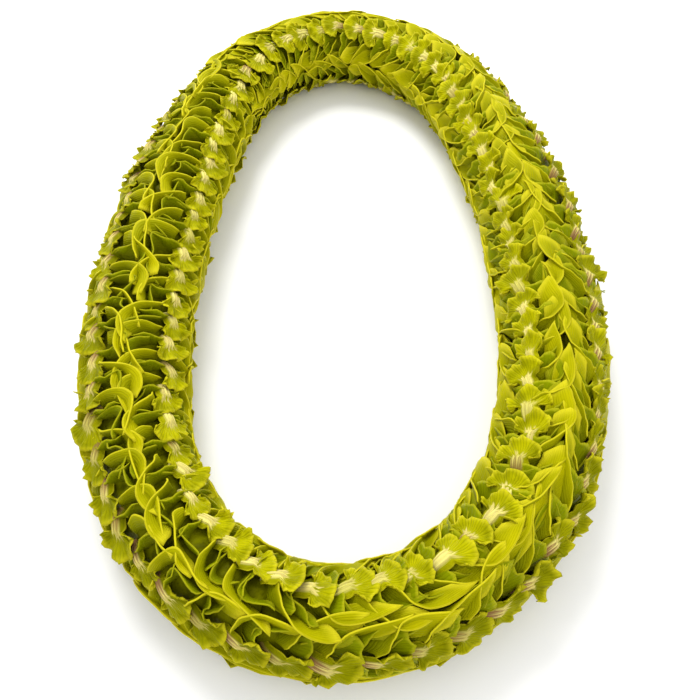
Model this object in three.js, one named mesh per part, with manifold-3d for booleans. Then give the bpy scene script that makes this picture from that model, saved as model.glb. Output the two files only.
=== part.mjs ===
// A fresh flower lei: a closed rope of folded green orchid blossoms, strung on one thread and
// tied in a ring. Millimetres, +Z up. The ring lies on the plane z = 0 with its length along Y,
// and the origin is the middle of the ring on that plane. Seen from above, every blossom
// points counterclockwise round the ring.

import * as THREE from "three";
import { mergeVertices } from "three/addons/utils/BufferGeometryUtils.js";
import Module from "manifold-3d";

const wasm = await Module();
wasm.setup();

// The middle line of the rope.
const RING_HALF_WIDTH = 100.5;
const RING_HALF_LENGTH = 188;
const RING_THIRD_WAVE = 10.65;
const RING_FIFTH_WAVE = 1.6;
const RING_NEAR_FULLNESS = 5;
const RING_LEFT_FULLNESS = 3;
const ROPE_MIDDLE_HEIGHT = 26.2;

// The rope's thickness as a share of the full one: least at the ends, where it bends.
const THICKNESS_MEAN = 0.875;
const THICKNESS_OF_SIDES = 0.075;
const THICKNESS_OF_FAR_END = 0.02;

// Where the thread is tied, and how far the top of the rope rolls outward as it goes round.
const TIE_PARAMETER_DEG = -20;
const TWIST_MEAN_DEG = 7;
const TWIST_SWING_DEG = 15;
const TWIST_TURNS = 2;
const TWIST_START_DEG = 220;

// How the blossoms are counted: a layer is one blossom in each of the four rows.
const SECTIONS = 22;
const LAYERS_PER_SECTION = 3;
const LAYERS = SECTIONS * LAYERS_PER_SECTION;
const ROWS = 4;
const ROW_STEP_DEG = 360 / ROWS;
const FIRST_ROW_DEG = 45;

// The packed hearts of the blossoms, which the petals stand out of.
const CORE_RADIUS = 13;
const CORE_COLUMNS = 12;
const COLUMN_STEP_DEG = 360 / CORE_COLUMNS;
const COLUMNS_PER_ROW = CORE_COLUMNS / ROWS;

// A blossom leans forward along the rope as it spreads outward.
const CREST_RADIUS = 28;
const LEAN_RUN = 20;
const LEAN_POWER = 1.6;
const BASE_THICKNESS = 1.8;
const PETAL_THICKNESS = 2.0;
const LOWEST_INNER_FACE = 0.8;

// Small seeded differences between blossoms.
const RADIUS_CHANGE = 0.06;
const ANGLE_CHANGE_DEG = 2;
const FORWARD_CHANGE = 0.7;
const RUFFLE_CHANGE = 0.8;
const LOWER_ROW_SHARE = 0.4;

// The thread, its channel and its tie.
const THREAD_RADIUS = 0.75;
const CHANNEL_RADIUS = 1.4;
const THREAD_SIDES = 6;
const THREAD_STEPS_PER_SECTION = 2;
const KNOT_RADIUS = 1.7;
const TIE_SPACE = 3.8;
const TAIL_RADIUS = 0.5;
const TAIL_REACH = 31.5;
const TAIL_LEAN_SHARE = 1.32;
const TAIL_STEPS = 8;
const TAIL_ANGLE_DEG = 90;
const SECTION_GAP = 0.3;

// Sections part midway between the layers of neighbouring rows, in steps of the pitch.
const PARTING = -0.25;

// The rim of one blossom from left to right: angle from its row, radius, and how far it
// stands forward of the lean. The outer points are the hoods of the two crest petals, which
// sweep forward along the crests, the middle three are the ruffled lip, and the low ones are
// the notches between them.
const RIM = [
  { angle: -54, radius: 24.8, forward: 4 },
  { angle: -43, radius: 27.8, forward: 4.8 },
  { angle: -30, radius: 26.6, forward: 0.6 },
  { angle: -19, radius: 23, forward: 0.4 },
  { angle: -12, radius: 25.6, forward: -0.4, ruffle: 1 },
  { angle: 0, radius: 26, forward: 2, ruffle: -1 },
  { angle: 12, radius: 25.6, forward: -0.4, ruffle: 1 },
  { angle: 19, radius: 23, forward: 0.4 },
  { angle: 30, radius: 26.6, forward: 0.6 },
  { angle: 43, radius: 27.8, forward: 4.8 },
  { angle: 54, radius: 24.8, forward: 4 },
];
const LIP_FIRST = 3;
const LIP_LAST = 7;
const LIP_TURN_DEG = 4;

// The raised claw of the lip, between the hollows of the two petals.
const FIELD = [
  { angle: -34, radius: 20.5, forward: 1 },
  { angle: 0, radius: 20, forward: -1.6 },
  { angle: 34, radius: 20.5, forward: 1 },
];
const CLAW_TURN_DEG = -4;

// In one layer of each section the two petals at the bottom crest are pressed flat against
// the surface. These give the rim's two outer points and one more point of the field.
const PRESSED_LAYER = 1;
const PRESSED_TIP = { angle: 42, radius: 28.2, forward: 4.6 };
const PRESSED_EDGE = { angle: 54, radius: 27.4, forward: 3.8 };
const PRESSED_FIELD = { angle: 48, radius: 27, forward: 3.2, thickness: 0.3, lowest: 1.5 };

// Triangles of one face of a blossom. Points 0 to 3 are its base, 4 to 14 its rim and
// 15 to 17 its field, all counted from left to right. Point 18 is a pressed petal's.
const BLOSSOM_TRIANGLES = [
  [0, 1, 15],
  [0, 15, 4],
  [4, 15, 5],
  [15, 6, 5],
  [15, 7, 6],
  [1, 16, 15],
  [16, 7, 15],
  [1, 2, 16],
  [16, 8, 7],
  [16, 9, 8],
  [16, 10, 9],
  [16, 11, 10],
  [16, 17, 11],
  [2, 17, 16],
  [2, 3, 17],
  [3, 14, 17],
  [14, 13, 17],
  [17, 13, 12],
  [17, 12, 11],
];
const RIGHT_TIP_TRIANGLE = [14, 13, 17];
const LEFT_TIP_TRIANGLE = [4, 15, 5];
const PRESSED_POINT = 18;

const PETAL_COLOR = 0xa7b52c;
const PETAL_SHADE_COLOR = 0x93a622;
const THREAD_COLOR = 0x8a8f4a;

const radians = THREE.MathUtils.degToRad;

// The middle line as a closed curve: an oval whose sides are flatter than an ellipse's. It
// lies lower where the rope is thinner, so that the whole rope rests on the surface.
class RingLine extends THREE.Curve {
  getPoint(share, target = new THREE.Vector3()) {
    const t = 2 * Math.PI * share + radians(TIE_PARAMETER_DEG);
    const across = RING_HALF_WIDTH + RING_THIRD_WAVE - RING_FIFTH_WAVE;
    const along = RING_HALF_LENGTH - RING_THIRD_WAVE - RING_FIFTH_WAVE;
    const evenX = across * Math.cos(t) - RING_THIRD_WAVE * Math.cos(3 * t) + RING_FIFTH_WAVE * Math.cos(5 * t);
    const evenY = along * Math.sin(t) - RING_THIRD_WAVE * Math.sin(3 * t) + RING_FIFTH_WAVE * Math.sin(5 * t);
    const x = evenX - RING_NEAR_FULLNESS * Math.sin(2 * t);
    const y = evenY - RING_LEFT_FULLNESS * Math.sin(2 * t);
    const sides = THICKNESS_OF_SIDES * Math.cos(2 * t);
    const thickness = THICKNESS_MEAN + sides + THICKNESS_OF_FAR_END * Math.sin(t);
    return target.set(x, y, ROPE_MIDDLE_HEIGHT * thickness);
  }
}

const ringLine = new RingLine();
ringLine.arcLengthDivisions = 4000;
const RING_LENGTH = ringLine.getLength();
const PITCH = RING_LENGTH / LAYERS;

function seeded(layer, row, channel) {
  const wave = Math.sin(layer * 127.1 + row * 311.7 + channel * 74.7) * 43758.5453;
  return 2 * (wave - Math.floor(wave)) - 1;
}

function twistAt(share) {
  const turn = 2 * Math.PI * TWIST_TURNS * share + radians(TWIST_START_DEG);
  return TWIST_MEAN_DEG + TWIST_SWING_DEG * Math.sin(turn);
}

// A point of the rope: how far along it, at which angle from the top towards the outside,
// and how far from the middle line at full thickness. The crest at the top rolls by the whole
// twist and the one on the surface by none. Nothing goes below lowest.
function ropePoint(along, angleDeg, radius, lowest = 0) {
  const share = THREE.MathUtils.euclideanModulo(along / RING_LENGTH, 1);
  const middle = ringLine.getPointAt(share);
  const tangent = ringLine.getTangentAt(share);
  const outward = new THREE.Vector3(tangent.y, -tangent.x, 0).normalize();
  const rolled = (1 + Math.cos(radians(angleDeg))) / 2;
  const angle = radians(angleDeg + rolled * twistAt(share));
  const spread = (radius * middle.z) / ROPE_MIDDLE_HEIGHT;
  middle.addScaledVector(outward, spread * Math.sin(angle));
  middle.z = Math.max(lowest, middle.z + spread * Math.cos(angle));
  return middle;
}

function leanAt(radius) {
  const share = Math.max(0, radius - CORE_RADIUS) / (CREST_RADIUS - CORE_RADIUS);
  return LEAN_RUN * Math.pow(share, LEAN_POWER);
}

// Collects points and triangles of one closed surface.
class Surface {
  constructor() {
    this.points = [];
    this.triangles = [];
  }
  point(vector) {
    this.points.push(vector);
    return this.points.length - 1;
  }
  triangle(a, b, c) {
    if (a !== b && b !== c && c !== a) {
      this.triangles.push(a, b, c);
    }
  }
  geometry(anchor) {
    const geometry = new THREE.BufferGeometry();
    const moved = this.points.map((p) => p.clone().sub(anchor));
    geometry.setFromPoints(moved);
    geometry.setIndex(this.triangles);
    geometry.computeVertexNormals();
    return geometry;
  }
}

// Rows beside each other are half a step apart, so that their crest petals braid.
function rowStart(layer, row) {
  return PITCH * (layer + (row % 2) / 2);
}

function partingAt(layer) {
  return PITCH * (layer + PARTING) + BASE_THICKNESS / 2;
}

// Rows 1 and 2 lie under the rope and vary less.
function isLowerRow(row) {
  return row === 1 || row === 2;
}

// The lips lean away from the top crest and the bottom crest.
function lipSide(row) {
  return row % 2 === 0 ? 1 : -1;
}

// The bottom crest lies right of row 1 and left of row 2.
function pressedSide(layer, row) {
  if (layer % LAYERS_PER_SECTION !== PRESSED_LAYER) {
    return 0;
  }
  return { 1: 1, 2: -1 }[row] ?? 0;
}

function mirrored(point, side) {
  return { ...point, angle: side * point.angle };
}

function rimOf(row, pressed) {
  const turn = lipSide(row) * LIP_TURN_DEG;
  const inLip = (i) => i >= LIP_FIRST && i <= LIP_LAST;
  const rim = RIM.map((p, i) => (inLip(i) ? { ...p, angle: p.angle + turn } : p));
  if (pressed > 0) {
    rim.splice(rim.length - 2, 2, PRESSED_TIP, PRESSED_EDGE);
  }
  if (pressed < 0) {
    rim.splice(0, 2, mirrored(PRESSED_EDGE, -1), mirrored(PRESSED_TIP, -1));
  }
  return rim;
}

function fieldOf(row, pressed) {
  const field = FIELD.map((p) => (p.angle === 0 ? { ...p, angle: lipSide(row) * CLAW_TURN_DEG } : p));
  return pressed === 0 ? field : [...field, mirrored(PRESSED_FIELD, pressed)];
}

// A pressed petal's tip triangle is split at the added point.
function blossomTriangles(pressed) {
  if (pressed === 0) {
    return BLOSSOM_TRIANGLES;
  }
  const split = pressed > 0 ? RIGHT_TIP_TRIANGLE : LEFT_TIP_TRIANGLE;
  const others = BLOSSOM_TRIANGLES.filter((t) => t.join() !== split.join());
  const [a, b, c] = split;
  return [...others, [a, b, PRESSED_POINT], [b, c, PRESSED_POINT], [c, a, PRESSED_POINT]];
}

// One blossom: its back and its inner face share the base corners and the rim.
function addBlossom(surface, layer, row, corner) {
  const start = rowStart(layer, row);
  const rowDeg = FIRST_ROW_DEG + row * ROW_STEP_DEG;
  const share = isLowerRow(row) ? LOWER_ROW_SHARE : 1;
  const growth = 1 + share * RADIUS_CHANGE * seeded(layer, row, 1);
  const turn = share * ANGLE_CHANGE_DEG * seeded(layer, row, 2);
  const forward = share * FORWARD_CHANGE * seeded(layer, row, 3);
  const place = (p, deeper, lowest) => {
    const radius = CORE_RADIUS + (p.radius - CORE_RADIUS) * growth;
    const ruffle = (p.ruffle ?? 0) * RUFFLE_CHANGE * seeded(layer, row, 4);
    const along = start + leanAt(p.radius) + p.forward + forward + ruffle + deeper;
    return surface.point(ropePoint(along, rowDeg + p.angle + turn, radius, lowest));
  };
  const firstColumn = row * COLUMNS_PER_ROW;
  const atColumn = (k) => (firstColumn + k) * COLUMN_STEP_DEG;
  const base = (offset) =>
    [1, 2].map((k) => surface.point(ropePoint(start + offset, atColumn(k), CORE_RADIUS)));
  const pressed = pressedSide(layer, row);
  const rimPoints = rimOf(row, pressed);
  const fieldPoints = fieldOf(row, pressed);
  const back = base(0);
  const inner = base(BASE_THICKNESS);
  const rim = rimPoints.map((p) => place(p, BASE_THICKNESS / 2, 0));
  const backField = fieldPoints.map((p) => place(p, 0, 0));
  const innerField = fieldPoints.map((p) =>
    place(p, p.thickness ?? PETAL_THICKNESS, p.lowest ?? LOWEST_INNER_FACE),
  );
  const left = corner(firstColumn, layer, row);
  const right = corner(firstColumn + COLUMNS_PER_ROW, layer, row);
  const backPoints = [left, ...back, right, ...rim, ...backField];
  const innerPoints = [left, ...inner, right, ...rim, ...innerField];
  for (const [a, b, c] of blossomTriangles(pressed)) {
    surface.triangle(backPoints[a], backPoints[b], backPoints[c]);
    surface.triangle(innerPoints[a], innerPoints[c], innerPoints[b]);
  }
  return { back: [left, ...back, right], inner: [left, ...inner, right] };
}

// The core's skin between two lines of four points, with at most one more point on each side.
function addCorePatch(surface, lower, upper, leftMore, rightMore) {
  const left = leftMore ?? lower[0];
  const right = rightMore ?? lower[3];
  surface.triangle(lower[0], lower[1], left);
  surface.triangle(left, lower[1], upper[1]);
  surface.triangle(left, upper[1], upper[0]);
  surface.triangle(lower[1], lower[2], upper[2]);
  surface.triangle(lower[1], upper[2], upper[1]);
  surface.triangle(lower[2], lower[3], right);
  surface.triangle(lower[2], right, upper[2]);
  surface.triangle(right, upper[3], upper[2]);
}

// A zigzag ring round the core between two layers.
function coreRing(surface, layer, shift) {
  return Array.from({ length: CORE_COLUMNS }, (_, column) => {
    const inRow = column % COLUMNS_PER_ROW;
    const row = Math.floor(column / COLUMNS_PER_ROW);
    const offset = inRow === 0 ? PARTING : (row % 2) / 2 + 2 * PARTING;
    const along = PITCH * (layer + offset) + BASE_THICKNESS / 2 + shift;
    return surface.point(ropePoint(along, column * COLUMN_STEP_DEG, CORE_RADIUS));
  });
}

function channelRing(surface, along) {
  return Array.from({ length: THREAD_SIDES }, (_, k) =>
    surface.point(ropePoint(along, (k * 360) / THREAD_SIDES, CHANNEL_RADIUS)),
  );
}

// The end face of a section, from the core's ring to the thread's channel.
function addEndFace(surface, ring, channel, facesForward) {
  const put = (a, b, c) => (facesForward ? surface.triangle(a, b, c) : surface.triangle(a, c, b));
  for (let k = 0; k < CORE_COLUMNS; k += 1) {
    const near = Math.floor(((k + 1) % CORE_COLUMNS) / 2);
    put(ring[k], ring[(k + 1) % CORE_COLUMNS], channel[near]);
    if (k % 2 === 0) {
      put(channel[k / 2], ring[(k + 1) % CORE_COLUMNS], channel[(k / 2 + 1) % THREAD_SIDES]);
    }
  }
}

function addChannel(surface, rings) {
  for (let i = 0; i + 1 < rings.length; i += 1) {
    for (let k = 0; k < THREAD_SIDES; k += 1) {
      const next = (k + 1) % THREAD_SIDES;
      surface.triangle(rings[i][k], rings[i + 1][k], rings[i + 1][next]);
      surface.triangle(rings[i][k], rings[i + 1][next], rings[i][next]);
    }
  }
}

// A length of the rope: a few layers of blossoms with the packed hearts inside them.
function flowerSection(index) {
  const surface = new Surface();
  const first = index * LAYERS_PER_SECTION;
  const corners = new Map();
  const corner = (column, layer, row) => {
    const key = `${column % CORE_COLUMNS} ${layer} ${row % 2}`;
    if (!corners.has(key)) {
      const along = rowStart(layer, row) + BASE_THICKNESS / 2;
      corners.set(key, surface.point(ropePoint(along, column * COLUMN_STEP_DEG, CORE_RADIUS)));
    }
    return corners.get(key);
  };
  const startShift = index === 0 ? TIE_SPACE / 2 : SECTION_GAP / 2;
  const endShift = index === SECTIONS - 1 ? TIE_SPACE / 2 : SECTION_GAP / 2;
  const startRing = coreRing(surface, first, startShift);
  const endRing = coreRing(surface, first + LAYERS_PER_SECTION, -endShift);
  const across = (ring, row) => [0, 1, 2, 3].map((k) => ring[(row * COLUMNS_PER_ROW + k) % CORE_COLUMNS]);
  for (let row = 0; row < ROWS; row += 1) {
    const leftColumn = row * COLUMNS_PER_ROW;
    const late = row % 2;
    let lower = across(startRing, row);
    for (let k = 0; k < LAYERS_PER_SECTION; k += 1) {
      const layer = first + k;
      const blossom = addBlossom(surface, layer, row, corner);
      const besideLayer = late ? layer : layer - 1;
      const beside = besideLayer < first ? [] : [leftColumn, leftColumn + COLUMNS_PER_ROW];
      const [leftMore, rightMore] = beside.map((column) => corner(column, besideLayer, row + 1));
      addCorePatch(surface, lower, blossom.back, leftMore, rightMore);
      lower = blossom.inner;
    }
    const lastLayer = first + LAYERS_PER_SECTION - 1;
    const lastBeside = late ? [] : [leftColumn, leftColumn + COLUMNS_PER_ROW];
    const [leftMore, rightMore] = lastBeside.map((column) => corner(column, lastLayer, row + 1));
    addCorePatch(surface, lower, across(endRing, row), leftMore, rightMore);
  }
  const start = partingAt(first) + startShift;
  const end = partingAt(first + LAYERS_PER_SECTION) - endShift;
  const channel = Array.from({ length: THREAD_STEPS_PER_SECTION + 1 }, (_, k) =>
    channelRing(surface, start + ((end - start) * k) / THREAD_STEPS_PER_SECTION),
  );
  addEndFace(surface, startRing, channel[0], false);
  addEndFace(surface, endRing, channel[THREAD_STEPS_PER_SECTION], true);
  addChannel(surface, channel);
  return surface;
}

// A tube of few sides through rings of points that it is given, closed on itself or capped.
function addTube(surface, rings, closed) {
  const sides = rings[0].length;
  const spans = closed ? rings.length : rings.length - 1;
  for (let i = 0; i < spans; i += 1) {
    const a = rings[i];
    const b = rings[(i + 1) % rings.length];
    for (let k = 0; k < sides; k += 1) {
      const next = (k + 1) % sides;
      surface.triangle(a[k], a[next], b[next]);
      surface.triangle(a[k], b[next], b[k]);
    }
  }
  if (!closed) {
    for (let k = 1; k + 1 < sides; k += 1) {
      surface.triangle(rings[0][0], rings[0][k + 1], rings[0][k]);
      surface.triangle(rings.at(-1)[0], rings.at(-1)[k], rings.at(-1)[k + 1]);
    }
  }
}

const TIE_ALONG = partingAt(0);

// The thread runs inside every section and closes on itself.
function threadLoop() {
  const surface = new Surface();
  const steps = SECTIONS * THREAD_STEPS_PER_SECTION;
  const rings = Array.from({ length: steps }, (_, i) =>
    Array.from({ length: THREAD_SIDES }, (_, k) => {
      const along = TIE_ALONG + (i * RING_LENGTH) / steps;
      return surface.point(ropePoint(along, (k * 360) / THREAD_SIDES, THREAD_RADIUS));
    }),
  );
  addTube(surface, rings, true);
  return surface.geometry(new THREE.Vector3());
}

// The tail left at the tie comes out between two crest petals on the outside of the ring.
function threadTail() {
  const surface = new Surface();
  const path = Array.from({ length: TAIL_STEPS + 1 }, (_, i) => {
    const radius = (TAIL_REACH * i) / TAIL_STEPS;
    const lean = TAIL_LEAN_SHARE * leanAt(Math.min(radius, CREST_RADIUS));
    return ropePoint(TIE_ALONG + lean, TAIL_ANGLE_DEG, radius);
  });
  const rings = path.map((middle, i) => {
    const ahead = path[Math.min(i + 1, TAIL_STEPS)];
    const behind = path[Math.max(i - 1, 0)];
    const direction = ahead.clone().sub(behind).normalize();
    const side = new THREE.Vector3(0, 0, 1).cross(direction).normalize();
    const up = direction.clone().cross(side);
    return Array.from({ length: THREAD_SIDES }, (_, k) => {
      const angle = (2 * Math.PI * k) / THREAD_SIDES;
      const offset = side.clone().multiplyScalar(Math.cos(angle)).addScaledVector(up, Math.sin(angle));
      return surface.point(middle.clone().addScaledVector(offset, TAIL_RADIUS));
    });
  });
  addTube(surface, rings, false);
  return surface.geometry(new THREE.Vector3());
}

function threadKnot() {
  const knot = new THREE.IcosahedronGeometry(KNOT_RADIUS, 1);
  const middle = ropePoint(TIE_ALONG, 0, 0);
  return knot.translate(middle.x, middle.y, middle.z);
}

function asSolid(geometry) {
  geometry.deleteAttribute("normal");
  geometry.deleteAttribute("uv");
  const merged = mergeVertices(geometry);
  return new wasm.Manifold(
    new wasm.Mesh({
      numProp: 3,
      vertProperties: new Float32Array(merged.attributes.position.array),
      triVerts: new Uint32Array(merged.index.array),
    }),
  );
}

function asGeometry(solid) {
  const mesh = solid.getMesh();
  const geometry = new THREE.BufferGeometry();
  geometry.setAttribute("position", new THREE.BufferAttribute(mesh.vertProperties, 3));
  geometry.setIndex(new THREE.BufferAttribute(mesh.triVerts, 1));
  geometry.computeVertexNormals();
  return geometry;
}

function petalMaterial(index) {
  const color = index % 2 === 0 ? PETAL_COLOR : PETAL_SHADE_COLOR;
  return new THREE.MeshStandardMaterial({ color, roughness: 0.5, metalness: 0, flatShading: true });
}

function threadMaterial() {
  return new THREE.MeshStandardMaterial({ color: THREAD_COLOR, roughness: 0.9, metalness: 0 });
}

const lei = new THREE.Group();
lei.name = "fresh_flower_lei";

for (let index = 0; index < SECTIONS; index += 1) {
  const middle = ropePoint((index + 0.5) * LAYERS_PER_SECTION * PITCH, 0, 0);
  const anchor = new THREE.Vector3(middle.x, middle.y, 0);
  const mesh = new THREE.Mesh(flowerSection(index).geometry(anchor), petalMaterial(index));
  mesh.name = `flowers_${String(index + 1).padStart(2, "0")}`;
  mesh.position.copy(anchor);
  lei.add(mesh);
}

const threadSolid = asSolid(threadLoop()).add(asSolid(threadKnot())).add(asSolid(threadTail()));
const thread = new THREE.Mesh(asGeometry(threadSolid), threadMaterial());
thread.name = "thread";
lei.add(thread);

export default lei;
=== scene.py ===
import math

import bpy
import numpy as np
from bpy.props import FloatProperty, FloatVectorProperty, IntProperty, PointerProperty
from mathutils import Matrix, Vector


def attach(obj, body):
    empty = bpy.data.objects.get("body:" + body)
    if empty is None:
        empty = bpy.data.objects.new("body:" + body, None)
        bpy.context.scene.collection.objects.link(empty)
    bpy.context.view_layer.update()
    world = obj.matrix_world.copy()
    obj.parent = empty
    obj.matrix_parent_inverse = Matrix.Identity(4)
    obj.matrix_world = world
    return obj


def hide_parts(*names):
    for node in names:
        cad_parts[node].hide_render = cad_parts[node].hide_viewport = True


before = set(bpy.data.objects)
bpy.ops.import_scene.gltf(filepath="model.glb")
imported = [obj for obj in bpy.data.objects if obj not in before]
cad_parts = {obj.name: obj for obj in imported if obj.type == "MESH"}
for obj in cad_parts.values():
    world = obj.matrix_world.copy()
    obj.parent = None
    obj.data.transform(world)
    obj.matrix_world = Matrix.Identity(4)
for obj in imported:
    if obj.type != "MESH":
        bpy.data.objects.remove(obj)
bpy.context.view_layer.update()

# A fresh flower lei: 264 folded green orchid blossoms in four rows round one thread.
# Each blossom has a ruffled lip with a pale ridged claw, two tongue petals beside it, two
# hoods, which are its crest petals and braid with those of the next row, and two smaller
# hoods inside them. Lengths are in millimetres until a mesh is made, and the rope's middle
# line is the one of the CAD nodes.

bl_info = {
    "name": "Fresh flower lei",
    "version": (1, 0, 0),
    "blender": (4, 5, 0),
    "location": "View3D > Sidebar > Lei",
    "description": "Builds the petals, thread and stage of a fresh flower lei",
    "category": "Add Mesh",
}

MM = 0.001

# The rope, as in the CAD nodes.
RING_HALF_WIDTH = 100.5
RING_HALF_LENGTH = 188.0
RING_THIRD_WAVE = 10.65
RING_FIFTH_WAVE = 1.6
RING_NEAR_FULLNESS = 5.0
RING_LEFT_FULLNESS = 3.0
ROPE_MIDDLE_HEIGHT = 26.2
THICKNESS_MEAN = 0.875
THICKNESS_OF_SIDES = 0.075
THICKNESS_OF_FAR_END = 0.02
TIE_PARAMETER = math.radians(-20)
TWIST_MEAN = 7.0
TWIST_SWING = 15.0
TWIST_TURNS = 2
TWIST_START = math.radians(220)
SECTIONS = 22
LAYERS_PER_SECTION = 3
LAYERS = SECTIONS * LAYERS_PER_SECTION
ROWS = 4
FIRST_ROW_ANGLE = 45.0
ROW_STEP = 360.0 / ROWS
CORE_RADIUS = 13.0
CREST_RADIUS = 28.0
LEAN_RUN = 20.0
LEAN_POWER = 1.6
LEAN_DEPTH = CREST_RADIUS - CORE_RADIUS
LINE_SAMPLES = 8000

# The seeded differences between blossoms, as in the CAD nodes.
RADIUS_CHANGE = 0.06
ANGLE_CHANGE = 2.0
FORWARD_CHANGE = 0.7
LOWER_ROW_SHARE = 0.4
RADIUS_CHANNEL, ANGLE_CHANNEL, FORWARD_CHANNEL, NUMBER_CHANNEL = 1, 2, 3, 9
HASH_STEPS = (127.1, 311.7, 74.7)
HASH_SCALE = 43758.5453

# The lowest that a petal's face and its middle surface go.
LOWEST_POINT = 0.05
LOWEST_MIDDLE = 0.45


def path_lengths(path):
    """The distance along a path to each of its points."""
    steps = np.linalg.norm(np.diff(path, axis=0), axis=1)
    return np.concatenate([[0.0], np.cumsum(steps)])


def ring_table():
    """Points and directions of the middle line, evenly sampled by its parameter, with lengths."""
    share = np.linspace(0.0, 1.0, LINE_SAMPLES + 1)
    t = 2 * np.pi * share + TIE_PARAMETER
    across = RING_HALF_WIDTH + RING_THIRD_WAVE - RING_FIFTH_WAVE
    along = RING_HALF_LENGTH - RING_THIRD_WAVE - RING_FIFTH_WAVE
    x = across * np.cos(t) - RING_THIRD_WAVE * np.cos(3 * t) + RING_FIFTH_WAVE * np.cos(5 * t)
    y = along * np.sin(t) - RING_THIRD_WAVE * np.sin(3 * t) + RING_FIFTH_WAVE * np.sin(5 * t)
    x -= RING_NEAR_FULLNESS * np.sin(2 * t)
    y -= RING_LEFT_FULLNESS * np.sin(2 * t)
    thickness = THICKNESS_MEAN + THICKNESS_OF_SIDES * np.cos(2 * t) + THICKNESS_OF_FAR_END * np.sin(t)
    length = path_lengths(np.stack([x, y, ROPE_MIDDLE_HEIGHT * thickness], axis=-1))
    turn = np.unwrap(np.arctan2(np.gradient(y), np.gradient(x)))
    turn[0] = turn[-1] - 2 * np.pi
    return x, y, thickness, turn, length


*RING_VALUES, RING_LENGTHS = ring_table()
RING_LENGTH = RING_LENGTHS[-1]
PITCH = RING_LENGTH / LAYERS


def ring_at(along):
    """The middle line's place, thickness and direction at distances along it."""
    place = np.mod(along, RING_LENGTH)
    return [np.interp(place, RING_LENGTHS, values) for values in RING_VALUES]


def rope_points(along, angle, radius, lowest=LOWEST_POINT):
    """Points of the rope: distance along it, angle in degrees from the top, distance from its middle
    at full thickness."""
    x, y, thickness, turn = ring_at(along)
    share = np.mod(along, RING_LENGTH) / RING_LENGTH
    twist = TWIST_MEAN + TWIST_SWING * np.sin(2 * np.pi * TWIST_TURNS * share + TWIST_START)
    rolled = (1 + np.cos(np.radians(angle))) / 2
    section_angle = np.radians(angle + rolled * twist)
    out = thickness * radius * np.sin(section_angle)
    up = thickness * (ROPE_MIDDLE_HEIGHT + radius * np.cos(section_angle))
    return np.stack([x + out * np.sin(turn), y - out * np.cos(turn), np.maximum(up, lowest)], axis=-1)


# On the left side of the ring the petals stand up, and elsewhere they lie forward.
STANDING_MIDDLE = math.radians(188)
STANDING_EDGE = 0.2
STANDING_FULL = 0.85


def lying_share(along):
    """0 where the petals stand up, 1 where they lie forward."""
    x, y, _, _ = ring_at(along)
    direction = np.arctan2(y / RING_HALF_LENGTH, x / RING_HALF_WIDTH)
    return 1 - smooth_step(STANDING_EDGE, STANDING_FULL, np.cos(direction - STANDING_MIDDLE))


def smooth_step(low, high, x):
    t = np.clip((x - low) / (high - low), 0, 1)
    return t * t * (3 - 2 * t)


def seeded(layer, row, channel):
    """A repeatable number from -1 to 1 for each blossom, another one for each channel."""
    layer_step, row_step, channel_step = HASH_STEPS
    wave = np.sin(layer * layer_step + row * row_step + channel * channel_step) * HASH_SCALE
    return 2 * (wave - np.floor(wave)) - 1


class Blossoms:
    """Where the blossoms of one section sit: one entry for each layer and row."""

    def __init__(self, section):
        self.layer = section * LAYERS_PER_SECTION + np.repeat(np.arange(LAYERS_PER_SECTION), ROWS)
        self.row = np.tile(np.arange(ROWS), LAYERS_PER_SECTION)
        self.count = self.layer.size
        self.on_top = (self.row == 0) | (self.row == 3)
        self.inner = self.row > 1
        share = np.where(self.on_top, 1.0, LOWER_ROW_SHARE)
        self.growth = 1 + share * RADIUS_CHANGE * seeded(self.layer, self.row, RADIUS_CHANNEL)
        self.turn = share * ANGLE_CHANGE * seeded(self.layer, self.row, ANGLE_CHANNEL)
        self.forward = share * FORWARD_CHANGE * seeded(self.layer, self.row, FORWARD_CHANNEL)
        self.start = PITCH * (self.layer + (self.row % 2) / 2)
        self.side = np.where(self.row % 2 == 0, 1.0, -1.0)
        self.lying = lying_share(self.start)
        self.random = np.random.default_rng(bpy.context.scene.lei_sizes.seed + section)

    def keep(self, chosen):
        """Leave only the chosen blossoms."""
        for name, values in list(vars(self).items()):
            if isinstance(values, np.ndarray):
                setattr(self, name, values[chosen])
        self.count = self.layer.size

    def draw(self, low, high, nu=1, nv=1):
        """Random numbers for each blossom: one, or one for each point along or across."""
        return self.random.uniform(low, high, (self.count, nu, nv))

    def phase(self):
        return self.draw(0, 2 * np.pi)

    def place(self, forward, angle, radius):
        """Points of the rope from the blossoms' own places.

        Forward is along the rope, the angle is in degrees from the row, away from the top or
        bottom crest, and the radius is from the rope's middle line."""
        wide = (slice(None),) + (None,) * (radius.ndim - 1)
        radius = CORE_RADIUS + (radius - CORE_RADIUS) * self.growth[wide]
        angle = FIRST_ROW_ANGLE + ROW_STEP * self.row[wide] + self.turn[wide] + angle * self.side[wide]
        along = self.start[wide] + self.forward[wide] + forward
        return rope_points(along, angle, radius, LOWEST_MIDDLE)


def spline_weights(count, samples):
    """Weights that carry evenly spaced control points to a smooth curve through them."""
    place = np.linspace(0, count - 1, samples)
    first = np.minimum(place.astype(int), count - 2)
    f = (place - first)[:, None]
    # Past each end the line goes on straight, to one more point.
    points = np.eye(count)
    points = np.concatenate([2 * points[:1] - points[1:2], points, 2 * points[-1:] - points[-2:-1]])
    return (
        (-0.5 * f + f**2 - 0.5 * f**3) * points[first]
        + (1 - 2.5 * f**2 + 1.5 * f**3) * points[first + 1]
        + (0.5 * f + 2 * f**2 - 1.5 * f**3) * points[first + 2]
        + (-0.5 * f**2 + 0.5 * f**3) * points[first + 3]
    )


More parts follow.
